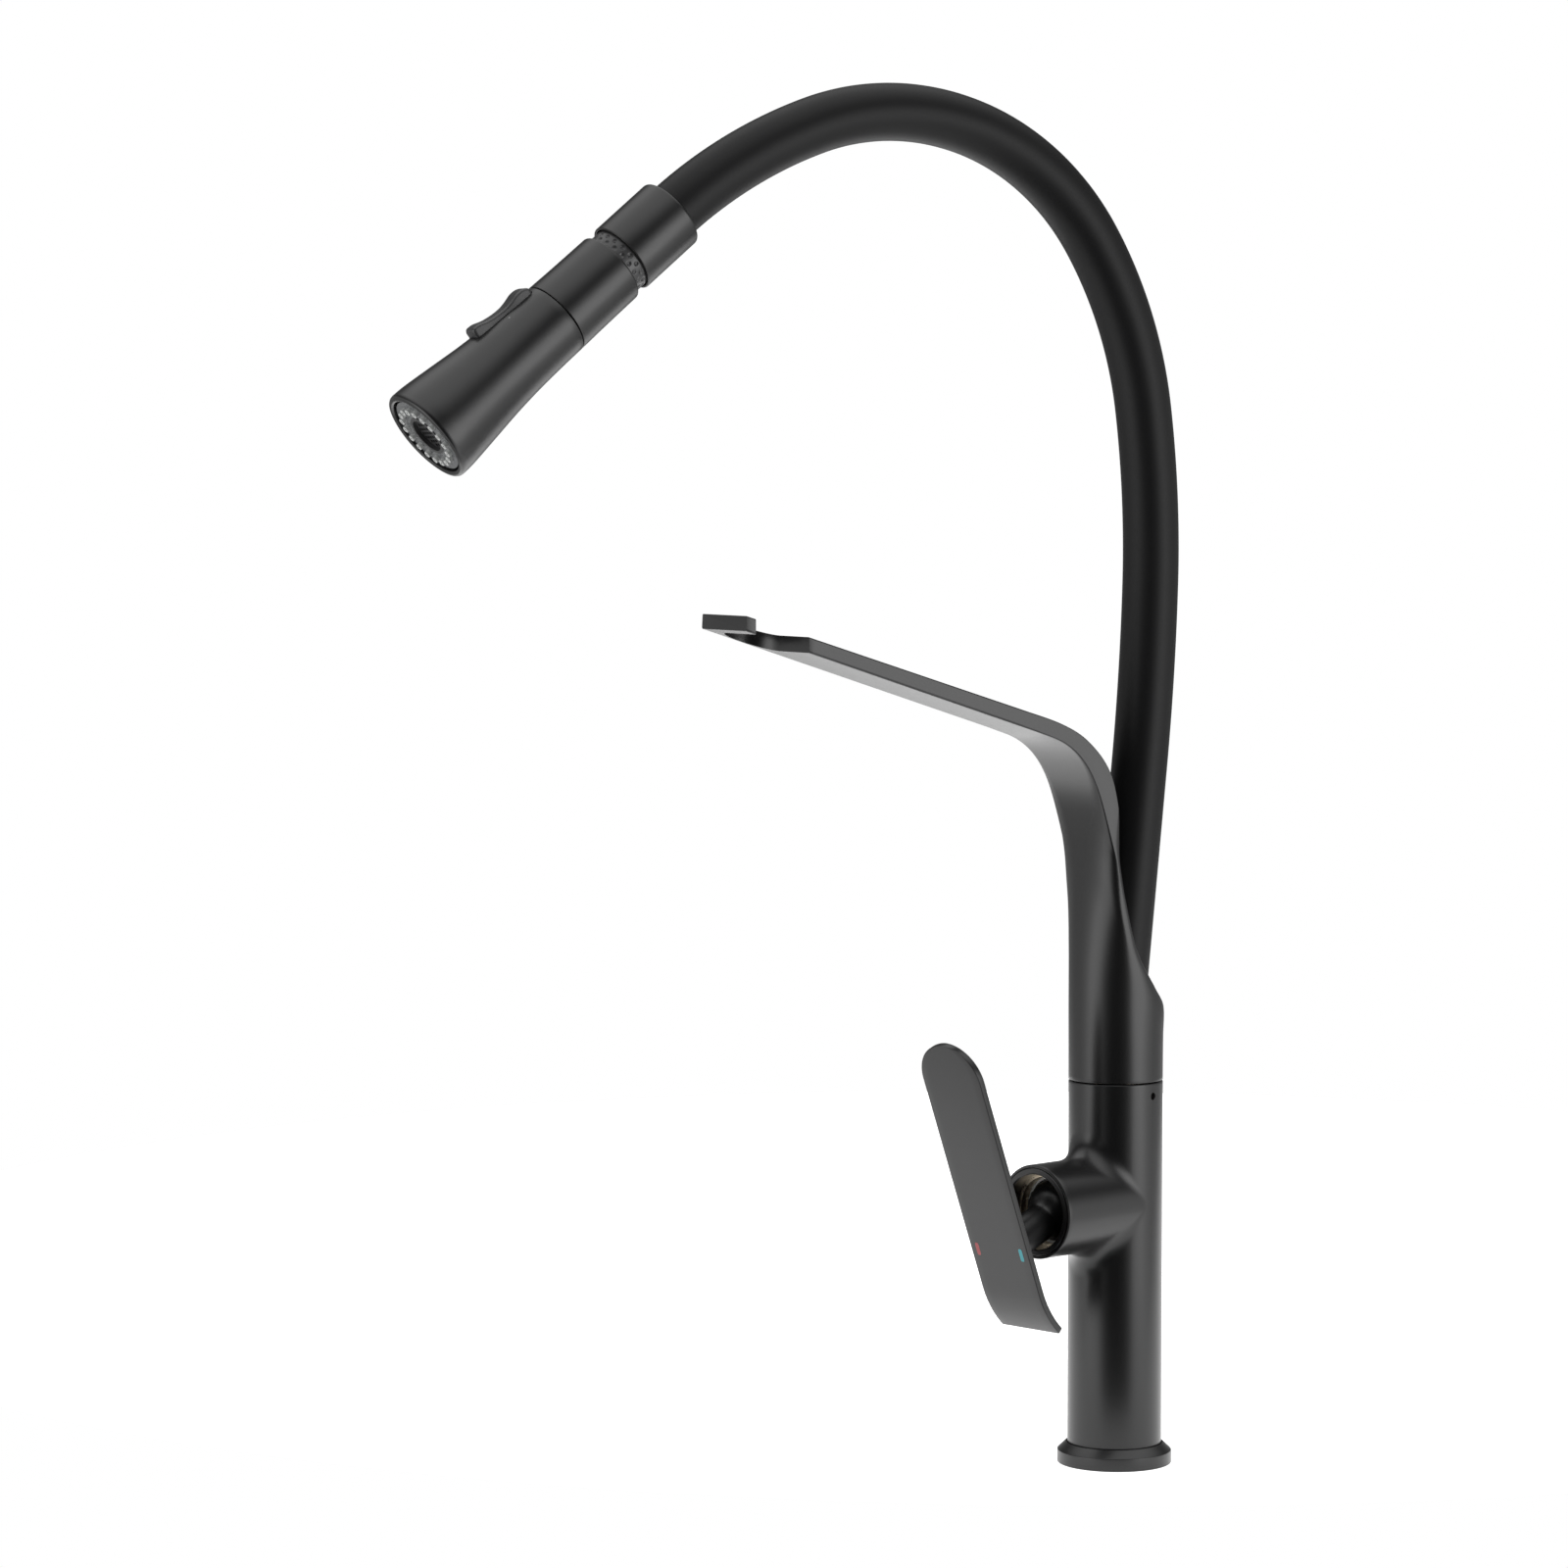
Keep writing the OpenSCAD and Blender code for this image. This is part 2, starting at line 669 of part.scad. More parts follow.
module aerator_housing() {
    color([0.04, 0.04, 0.04]) in_head() difference() {
        translate([0, 0, disc_s + 4]) cylinder(r = aerator_r, h = face_s - 1 - disc_s - 4);
        translate([0, 0, disc_s]) cylinder(r = 6, h = 60);
        translate([0, 0, face_s - 6]) cylinder(r = 8.3, h = 60);
    }
}

module aerator_mesh() {
    color([0.1, 0.1, 0.1]) in_head() difference() {
        translate([0, 0, face_s - 6]) cylinder(r = 8.3, h = 3);
        for (x = [-3:3], y = [-3:3]) if (x * x + y * y < 10.5)
            translate([x * 2.2 - 0.8, y * 2.2 - 0.8, face_s - 8]) cube([1.6, 1.6, 10]);
    }
}

// side outline of the rocker: X along the head, Y outward
module rocker_outline() {
    half = button_l / 2;
    polygon([
        [-half, -2.2], [half, -2.2], [half, 5.2], [half - 1.2, 6.4], [half - 4, 6.6],
        [half - 9, 5.6], [half - 14, 4.7], [0, 4.4], [-5, 4.6], [-9, 5.6],
        [-half + 4.5, 7], [-half + 1.4, 7], [-half, 5.6]]);
}

module spray_button() {
    color([0.09, 0.09, 0.09]) in_head() translate([0, button_y, button_s])
        rotate([-button_lift, 0, 0]) difference() {
            rotate([0, -90, 0]) translate([0, 0, -button_w / 2]) linear_extrude(height = button_w)
                rocker_outline();
            rotate([0, 90, 0]) cylinder(r = 1.3, h = 20, center = true);
        }
}

module button_pin() {
    color([0.7, 0.7, 0.72]) in_head() translate([-7.4, button_y, button_s]) rotate([0, 90, 0])
        cylinder(r = 1, h = 14.8);
}

module diverter_spool() {
    color([0.88, 0.88, 0.85]) in_head() translate([0, -3, button_s + 9.5]) rotate([-90, 0, 0])
        cylinder(r = 3, h = button_y + 1);
}

base_flange();
base_seal();
column_body();
inlet_block();
hot_feed_tube();
cold_feed_tube();
cartridge_housing();
cartridge_port_seals();
fixed_ceramic_disc();
cartridge_nut();
boss_trim_ring();
swivel_bush();
swivel_grub_screw();
lever_carrier();
moving_ceramic_disc();
cartridge_stem();
handle_lever();
lever_grub_screw();
hot_mark();
cold_mark();
arm_body();
swivel_spigot();
swivel_o_rings();
hose_union();
hose_link_1();
hose_link_2();
hose_link_3();
hose_link_4();
hose_link_5();
hose_link_6();
hose_link_7();
hose_collar();
collar_nipple();
neck_ring();
upper_shell();
lower_shell();
filter_washer();
water_core();
check_valve_seat();
check_poppet();
nozzle_pad();
face_plate();
aerator_housing();
aerator_mesh();
spray_button();
button_pin();
diverter_spool();
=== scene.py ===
import json
import math
import bmesh
import bpy
import numpy as np
from mathutils import Vector, Matrix


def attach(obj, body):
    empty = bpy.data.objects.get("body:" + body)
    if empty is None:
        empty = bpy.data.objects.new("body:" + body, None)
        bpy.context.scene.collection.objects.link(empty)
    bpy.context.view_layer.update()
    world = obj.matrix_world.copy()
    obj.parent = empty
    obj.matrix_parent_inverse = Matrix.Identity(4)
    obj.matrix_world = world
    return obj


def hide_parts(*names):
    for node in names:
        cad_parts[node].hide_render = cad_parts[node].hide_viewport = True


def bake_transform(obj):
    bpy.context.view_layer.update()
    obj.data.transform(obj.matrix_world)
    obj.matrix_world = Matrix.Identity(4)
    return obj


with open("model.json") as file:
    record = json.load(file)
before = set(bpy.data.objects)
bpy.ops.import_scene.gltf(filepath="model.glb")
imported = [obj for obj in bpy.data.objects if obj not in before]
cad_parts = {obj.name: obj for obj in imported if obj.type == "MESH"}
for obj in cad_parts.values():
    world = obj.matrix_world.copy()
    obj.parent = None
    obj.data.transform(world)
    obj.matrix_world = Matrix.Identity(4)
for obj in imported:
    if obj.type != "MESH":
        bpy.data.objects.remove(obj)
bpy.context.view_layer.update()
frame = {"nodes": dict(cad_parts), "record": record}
NODES = frame["nodes"]

# ---------------------------------------------------------------- sizes, mm
COLUMN_R = 22.0
COLUMN_TOP = 180.0
BOSS_R = 21.8
BOSS_Z = 123.4
BOSS_REACH = 55.0
FILLET = 13.0
BOSS_TURN = math.radians(16.5)
PIVOT_V = 38.0
LEVER_LEAN = math.radians(21.5)
HOSE_R = 13.0
HOSE_LEAN = -5.75
HOSE_Z = 206.0
FIRST_L = 123.0
LINK_L = 82.5
TURNS = [4, 9.5, 24.7, 40, 37.4, 20.2]
ARM_REACH = 204.5
ARM_TIP_Z = 399.5
ARM_SLOPE = math.radians(17.6)
ARM_T = 6.4
BLADE_DROP = ARM_T / math.cos(ARM_SLOPE)
CHANNEL_R = 13.9
SLOT_R, SLOT_X, FINGER = 13.3, -6.0, 4.4
HEAD_R = 17.4
FACE_R = 22.6
COLLAR_L, COLLAR_R = 31.4, 16.75
NECK_S, JOINT_S, FACE_S = 38.0, 73.0, 154.0
RIM_R = FACE_R - 3.1
BUTTON_S, BUTTON_L, BUTTON_W, BUTTON_Y = 92.6, 33.0, 9.0, 15.2
NECK_R = 15.0
DIMPLE_R, DIMPLE_DEEP, DIMPLE_STEP = 1.15, 0.5, 18
MM = 0.001
# the camera: turn about the object and pitch in degrees, places in metres
CAMERA_TURN, CAMERA_PITCH, CAMERA_LENS = 62.5, 3.45, 110.25
CAMERA_AWAY, CAMERA_LEFT, CAMERA_HEIGHT = 2.232, 0.155, 0.453
SOFTBOX_SIZE, SOFTBOX_AWAY = 0.9, 1.6
LIT_CENTRE = Vector((0, -0.08, 0.36))
# brightness of the light tent by the turn from its opening and by the height, in degrees
TENT_SIDES = [(0, 0.0), (22, 0.02), (34, 0.45), (44, 1.7), (72, 1.9), (98, 0.8), (130, 0.35),
              (180, 0.25)]
TENT_TOP = [(0, 0.0), (26, 0.02), (36, 0.35), (46, 1.1), (60, 1.7), (90, 1.5)]
SIDES_END = (10, 26)
FLOOR_GLOW = 0.85
FLOOR_R = 0.75
FLOOR_FRONT = 0.1


# ------------------------------------------------------------------ camera
def add_camera():
    azimuth = math.radians(CAMERA_TURN)
    back = Vector((math.sin(azimuth), -math.cos(azimuth), 0))
    right = Vector((math.cos(azimuth), math.sin(azimuth), 0))
    data = bpy.data.cameras.new("camera")
    data.sensor_width = 36
    data.lens = CAMERA_LENS
    cam = bpy.data.objects.new("camera", data)
    bpy.context.scene.collection.objects.link(cam)
    place = back * CAMERA_AWAY - right * CAMERA_LEFT + Vector((0, 0, CAMERA_HEIGHT))
    pitch = math.radians(CAMERA_PITCH)
    aim = -back * math.cos(pitch) - Vector((0, 0, 1)) * math.sin(pitch)
    cam.location = place
    cam.rotation_mode = "QUATERNION"
    cam.rotation_quaternion = aim.to_track_quat("-Z", "Y")
    data.clip_start, data.clip_end = 0.05, 60
    bpy.context.scene.camera = cam
    return back, right


# --------------------------------------------------------------- materials
def nodes_of(name):
    mat = bpy.data.materials.new(name)
    mat.use_nodes = True
    nt = mat.node_tree
    return mat, nt, nt.nodes["Principled BSDF"]


def noise(nt, scale, detail=2.0, rough=0.5):
    coord = nt.nodes.new("ShaderNodeTexCoord")
    tex = nt.nodes.new("ShaderNodeTexNoise")
    tex.inputs["Scale"].default_value = scale
    tex.inputs["Detail"].default_value = detail
    tex.inputs["Roughness"].default_value = rough
    nt.links.new(coord.outputs["Object"], tex.inputs["Vector"])
    return tex


def ramp(nt, src, lo, hi, low_at=0.3, high_at=0.7):
    r = nt.nodes.new("ShaderNodeMapRange")
    r.inputs["From Min"].default_value = low_at
    r.inputs["From Max"].default_value = high_at
    r.inputs["To Min"].default_value = lo
    r.inputs["To Max"].default_value = hi
    nt.links.new(src, r.inputs["Value"])
    return r.outputs["Result"]


def mix_color(nt, src, a, b):
    m = nt.nodes.new("ShaderNodeMix")
    m.data_type = "RGBA"
    m.inputs[6].default_value = (*a, 1)
    m.inputs[7].default_value = (*b, 1)
    nt.links.new(src, m.inputs[0])
    return m.outputs[2]


def material(name, color, vary=0.08, rough=(0.4, 0.5), metal=0.0, grain=900.0,
             bump=0.02, bump_size=0.0002, specular=0.5, coat=0.0, coat_rough=0.3,
             patch=40.0, transmission=0.0):
    mat, nt, bsdf = nodes_of(name)
    big = noise(nt, patch, 3)
    fine = noise(nt, grain, 3, 0.6)
    dark = tuple(c * (1 - vary) for c in color)
    light = tuple(min(1, c * (1 + vary)) for c in color)
    nt.links.new(mix_color(nt, big.outputs["Fac"], dark, light), bsdf.inputs["Base Color"])
    nt.links.new(ramp(nt, fine.outputs["Fac"], *rough), bsdf.inputs["Roughness"])
    b = nt.nodes.new("ShaderNodeBump")
    b.inputs["Strength"].default_value = bump
    b.inputs["Distance"].default_value = bump_size
    nt.links.new(fine.outputs["Fac"], b.inputs["Height"])
    nt.links.new(b.outputs["Normal"], bsdf.inputs["Normal"])
    bsdf.inputs["Metallic"].default_value = metal
    bsdf.inputs["Specular IOR Level"].default_value = specular
    bsdf.inputs["Coat Weight"].default_value = coat
    bsdf.inputs["Coat Roughness"].default_value = coat_rough
    bsdf.inputs["Transmission Weight"].default_value = transmission
    return mat


def make_materials():
    m = {}
    m["matte_black"] = material("matte_black", (0.006, 0.006, 0.0062), 0.06, (0.28, 0.34),
                                grain=2600, bump=0.05, bump_size=0.0001, specular=0.5)
    m["black_rubber"] = material("black_rubber", (0.0055, 0.0055, 0.0058), 0.12, (0.42, 0.5),
                                 grain=1800, bump=0.12, bump_size=0.0001, specular=0.2)
    m["seal_rubber"] = material("seal_rubber", (0.02, 0.02, 0.02), 0.1, (0.5, 0.6))
    m["brass"] = material("brass", (0.62, 0.53, 0.4), 0.06, (0.25, 0.4), metal=1.0, grain=600)
    m["copper_tube"] = material("copper_tube", (0.65, 0.34, 0.2), 0.08, (0.2, 0.35), metal=1.0)
    m["white_plastic"] = material("white_plastic", (0.75, 0.75, 0.72), 0.03, (0.35, 0.45))
    m["ceramic"] = material("ceramic", (0.86, 0.86, 0.82), 0.02, (0.12, 0.2))
    m["steel"] = material("steel", (0.6, 0.6, 0.62), 0.05, (0.18, 0.3), metal=1.0, grain=900)
    m["black_plastic"] = material("black_plastic", (0.035, 0.035, 0.036), 0.05, (0.28, 0.36),
                                  grain=2200, bump=0.03)
    m["grey_face"] = material("grey_face", (0.16, 0.165, 0.17), 0.05, (0.14, 0.2),
                              transmission=0.25, coat=0.4, coat_rough=0.1)
    m["nozzle_rubber"] = material("nozzle_rubber", (0.5, 0.51, 0.5), 0.05, (0.4, 0.5),
                                  grain=1500, bump=0.06)
    m["blue_plastic"] = material("blue_plastic", (0.05, 0.14, 0.45), 0.05, (0.3, 0.4))
    m["hot_paint"] = material("hot_paint", (0.3, 0.035, 0.04), 0.1, (0.35, 0.45))
    m["cold_paint"] = material("cold_paint", (0.02, 0.27, 0.31), 0.1, (0.35, 0.45))
    return m


# ------------------------------------------------------------ mesh helpers
def new_object(name, verts, faces, smooth=True):
    mesh = bpy.data.meshes.new(name)
    mesh.from_pydata([tuple(v) for v in verts], [], [tuple(f) for f in faces])
    mesh.update()
    obj = bpy.data.objects.new(name, mesh)
    bpy.context.scene.collection.objects.link(obj)
    if smooth:
        mesh.polygons.foreach_set("use_smooth", [True] * len(mesh.polygons))
    return obj


def sharpen(obj, angle=35):
    """Smooth shading with edges over the angle left sharp."""
    bm = bmesh.new()
    bm.from_mesh(obj.data)
    limit = math.radians(angle)
    for e in bm.edges:
        e.smooth = len(e.link_faces) == 2 and e.calc_face_angle(0) < limit
    for f in bm.faces:
        f.smooth = True
    bm.to_mesh(obj.data)
    bm.free()


def apply_modifiers(obj):
    bpy.context.view_layer.update()
    done = bpy.data.meshes.new_from_object(obj.evaluated_get(bpy.context.evaluated_depsgraph_get()))
    obj.modifiers.clear()
    obj.data = done


def cut(obj, *tools, operation="DIFFERENCE"):
    for tool in tools:
        m = obj.modifiers.new("cut", "BOOLEAN")
        m.operation = operation
        m.solver = "EXACT"
        m.object = tool
    apply_modifiers(obj)
    for tool in tools:
        bpy.data.objects.remove(tool)


def bevel(obj, width, segments=3, angle=35):
    m = obj.modifiers.new("bevel", "BEVEL")
    m.width = width * MM
    m.segments = segments
    m.limit_method = "ANGLE"
    m.angle_limit = math.radians(angle)
    m.harden_normals = False
    apply_modifiers(obj)


def face_out(obj, merge=0.0):
    """Joins points closer than merge and turns every face outward."""
    bm = bmesh.new()
    bm.from_mesh(obj.data)
    if merge:
        bmesh.ops.remove_doubles(bm, verts=bm.verts, dist=merge)
    bmesh.ops.recalc_face_normals(bm, faces=bm.faces)
    bm.to_mesh(obj.data)
    bm.free()


def loft(rings, close_start=True, close_end=True):
    """Vertices and faces of a skin over rings of equal length."""
    n = len(rings[0])
    verts = [p for r in rings for p in r]
    faces = []
    for i in range(len(rings) - 1):
        for j in range(n):
            k = (j + 1) % n
            faces.append((i * n + j, i * n + k, (i + 1) * n + k, (i + 1) * n + j))
    if close_start:
        faces.append(tuple(range(n - 1, -1, -1)))
    if close_end:
        last = (len(rings) - 1) * n
        faces.append(tuple(range(last, last + n)))
    return verts, faces


def revolve(name, profile, place, steps=128, closed=True):
    """Turns a profile of (radius, height) in mm about local Z; place is a 4 x 4 matrix."""
    rings = []
    for r, z in profile:
        rings.append([place @ Vector((r * MM * math.cos(a), r * MM * math.sin(a), z * MM))
                      for a in (2 * math.pi * j / steps for j in range(steps))])
    if closed:
        rings.append(rings[0])
    verts, faces = loft(rings, False, False)
    obj = new_object(name, verts, faces)
    face_out(obj, 1e-7)
    return obj


def dress(obj, mats, slot, body):
    """Gives a finished mesh its material and slot, and the body it rides on."""
    obj.data.materials.clear()
    obj.data.materials.append(mats[slot])
    if body:
        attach(obj, body)


def curve_through(points, per=10):
    """A smooth Catmull-Rom line through 2-D points."""
    p = [np.array(q, float) for q in points]
    p = [2 * p[0] - p[1]] + p + [2 * p[-1] - p[-2]]
    out = []
    for i in range(1, len(p) - 2):
        a, b, c, d = p[i - 1], p[i], p[i + 1], p[i + 2]
        for k in range(per):
            t = k / per
            out.append(0.5 * ((2 * b) + (c - a) * t + (2 * a - 5 * b + 4 * c - d) * t * t
                              + (3 * b - a - 3 * c + d) * t ** 3))
    out.append(p[-2])
    return np.array(out)


def rounded(points, radii, per=5):
    """A polyline in 2-D with its inner corners rounded; radii has one entry a point."""
    out = []
    for i, (q, r) in enumerate(zip(points, radii)):
        q = np.array(q, float)
        if r <= 0 or i in (0, len(points) - 1):
            out.append(q)
            continue
        a, b = np.array(points[i - 1], float) - q, np.array(points[i + 1], float) - q
        la, lb = np.linalg.norm(a), np.linalg.norm(b)
        a, b = a / la, b / lb
        half = math.acos(max(-1, min(1, float(a @ b)))) / 2
        d = min(r / math.tan(half), la * 0.49, lb * 0.49)
        s, e = q + a * d, q + b * d
        for k in range(per + 1):
            t = k / per
            out.append((1 - t) ** 2 * s + 2 * t * (1 - t) * q + t * t * e)
    return out


# -------------------------------------------------------------- the frames
def in_boss():
    return (Matrix.Rotation(BOSS_TURN, 4, "Z") @ Matrix.Translation((0, 0, BOSS_Z * MM))
            @ Matrix.Rotation(math.pi / 2, 4, "X"))


def in_lever():
    return (in_boss() @ Matrix.Translation((0, 0, PIVOT_V * MM))
            @ Matrix.Rotation(LEVER_LEAN, 4, "X"))


def hose_joints():
    """Pivot points (reach, height) and headings in degrees, one per bent link, then the end."""
    h = HOSE_LEAN
    lean = math.radians(h)
    p = np.array([FIRST_L * math.sin(lean), HOSE_Z + FIRST_L * math.cos(lean)])
    at, head = [p], [h]
    for t in TURNS:
        mid = math.radians(h + t / 2)
        chord = LINK_L * math.sin(math.radians(t / 2)) / math.radians(t / 2)
        p = p + chord * np.array([math.sin(mid), math.cos(mid)])
        h += t
        at.append(p)
        head.append(h)
    return at, head


def in_head():
    at, head = hose_joints()
    return (Matrix.Translation((0, -at[-1][0] * MM, at[-1][1] * MM))
            @ Matrix.Rotation(math.radians(head[-1]), 4, "X"))


def hose_point(s):
    """Centre line (reach, height) and heading in radians at arc length s from the union."""
    if s <= FIRST_L:
        h = math.radians(HOSE_LEAN)
        return np.array([s * math.sin(h), HOSE_Z + s * math.cos(h)]), h
    at, head = hose_joints()
    i = min(int((s - FIRST_L) / LINK_L), 5)
    d = s - FIRST_L - i * LINK_L
    turn = math.radians(TURNS[i]) * d / LINK_L
    h = math.radians(head[i])
    radius = LINK_L / math.radians(TURNS[i])
    chord = 2 * radius * math.sin(turn / 2)
    return at[i] + chord * np.array([math.sin(h + turn / 2), math.cos(h + turn / 2)]), h + turn


def hose_piece(name, s0, s1, close=(False, False)):
    steps = max(8, int((s1 - s0) / 1.6))
    rings = []
    for k in range(steps + 1):
        s = s0 + (s1 - s0) * k / steps
        (u, z), h = hose_point(s)
        across, up = Vector((1, 0, 0)), Vector((0, -math.cos(h), -math.sin(h)))
        c = Vector((0, -u, z))
        rings.append([(c + across * (HOSE_R * math.cos(a)) + up * (HOSE_R * math.sin(a))) * MM
                      for a in (2 * math.pi * j / 64 for j in range(64))])
    verts, faces = loft(rings, *close)
    obj = new_object(name, verts, faces)
    face_out(obj)
    return obj


def build_hose(mats):
    total = FIRST_L + 6 * LINK_L
    marks = [0.4, FIRST_L * 0.5] + [FIRST_L + LINK_L * (i + 0.5) for i in range(6)] + [total]
    pieces = []
    for i in range(len(marks) - 1):
        first, last = i == 0, i == len(marks) - 2
        obj = hose_piece(f"hose_sleeve_{i + 1}", marks[i], marks[i + 1], (first, last))
        dress(obj, mats, "black_rubber", None)
        pieces.append(obj)
        if first:
            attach(obj, "hose_1")
        elif last:
            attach(obj, "hose_end")
        else:
            for s in (marks[i], marks[i + 1]):
                (u, z), _ = hose_point(s)
            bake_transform(obj)
    for i, obj in enumerate(pieces[:-1]):
        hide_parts(f"hose_link_{i + 1}")
    return pieces


# --------------------------------------------------------------------- arm
def arm_sections():
    """Front and back points (reach, height) of the arm."""
    front = curve_through([(22, 180.6), (22, 195), (22, 212), (21.9, 230), (21.5, 248), (21, 264),
                           (20.6, 280), (20.9, 296), (22.9, 311), (27, 323.4), (33.4, 333),
                           (42, 339.6), (54, 344.2), (70, 349.4)], 8)
    back = curve_through([(-22, 180.6), (-22, 190), (-22, 200), (-22, 213.4), (-17.3, 219.6),
                          (-9.5, 228.1), (-3.6, 236), (2.2, 256), (6.4, 275), (11.4, 305),
                          (16.6, 325.3), (28, 339.6), (42.5, 348.2), (66, 356)], 8)
    return front, back


def arm_ring(f, b, rx, ry, bevel_r, n=22):
    """One cross-section. f and b are the front and back points, rx and ry the size of the
    rounded front corners, bevel_r the rounding of the back edges, all in mm."""
    f, b = np.array(f), np.array(b)
    depth = np.linalg.norm(b - f)
    d = (b - f) / depth
    pts = []
    for k in range(n + 1):
        a = math.pi / 2 * k / n
        pts.append((COLUMN_R - rx + rx * math.sin(a), ry - ry * math.cos(a)))
    r = min(bevel_r, depth - ry)
    for k in range(13):
        a = math.pi / 2 * k / 12
        pts.append((COLUMN_R - r + r * math.cos(a), depth - r + r * math.sin(a)))
    half = pts + [(min(COLUMN_R * 0.35, COLUMN_R - r), depth)]
    ring = half + [(-x, y) for x, y in reversed(half)]
    out = []
    for x, y in ring:
        p = f + d * y
        out.append(Vector((x, -p[0], p[1])) * MM)
    return out


def build_arm(mats):
    front, back = arm_sections()
    rings = []
    for f, b in zip(front, back):
        depth = np.linalg.norm(b - f)
        rise = min(1, max(0, (f[1] - 268) / 72))
        rise = rise * rise * (3 - 2 * rise)
        rx = 22 * (1 - rise) + 1.1 * rise
        ry = min(22, (depth - 2.2) * (1 - rise) + 1.1 * rise)
        back_r = min(22, max(0.7, depth - 22)) if depth > 22.7 else 0.7
        rings.append(arm_ring(f, b, rx, ry, back_r))
    start_f, start_b = front[-1], back[-1]
    end_f = np.array([ARM_REACH + 0.4, ARM_TIP_Z - BLADE_DROP])
    end_b = np.array([ARM_REACH, ARM_TIP_Z])
    for k in range(1, 41):
        t = k / 40
        rings.append(arm_ring(start_f + (end_f - start_f) * t, start_b + (end_b - start_b) * t,
                              1.1, 1.1, 0.7))
    verts, faces = loft(rings)
    arm = new_object("arm_shell", verts, faces)
    face_out(arm, 1e-6)
    # hose channel
    lean = math.radians(HOSE_LEAN)
    lie = Matrix.Translation((0, 0, HOSE_Z * MM)) @ Matrix.Rotation(lean, 4, "X")
    channel = revolve("channel", [(0, -3.9), (CHANNEL_R, -3.9), (CHANNEL_R, 300), (0, 300)],
                      lie, 128, False)
    # cradle slot: a stadium open toward +X
    slot_u = ARM_REACH - FINGER - SLOT_R
    outline = [(60, -SLOT_R)] + [(SLOT_X - SLOT_R * math.sin(a), -SLOT_R * math.cos(a))
                                 for a in (math.pi * k / 40 for k in range(41))] + [(60, SLOT_R)]
    low = [Vector((x, -slot_u + y, 340)) * MM for x, y in outline]
    high = [Vector((x, -slot_u + y, 440)) * MM for x, y in outline]
    v, f = loft([low, high])
    slot = new_object("slot", v, f)
    face_out(slot)
    cut(arm, channel, slot)
    bevel(arm, 0.55, 3, 40)
    sharpen(arm, 32)
    dress(arm, mats, "matte_black", "arm")
    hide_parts("arm_body")
    return arm


# ------------------------------------------------------------------- lever
LEVER_W, LEVER_T, LEVER_UP, LEVER_LOW, LEVER_BEND = 36.0, 3.2, 105.0, 20.0, 50.0
NECK_END = 40.4


def lever_place(s, n):
    """Point (up the plate, outward) at arc length s and height n over the back face."""
    if s >= -LEVER_LOW:
        return s, n
    a = (-LEVER_LOW - s) / (LEVER_BEND - LEVER_T / 2)
    return (-LEVER_LOW - (LEVER_BEND - LEVER_T + n) * math.sin(a),
            LEVER_T - LEVER_BEND + (LEVER_BEND - LEVER_T + n) * math.cos(a))


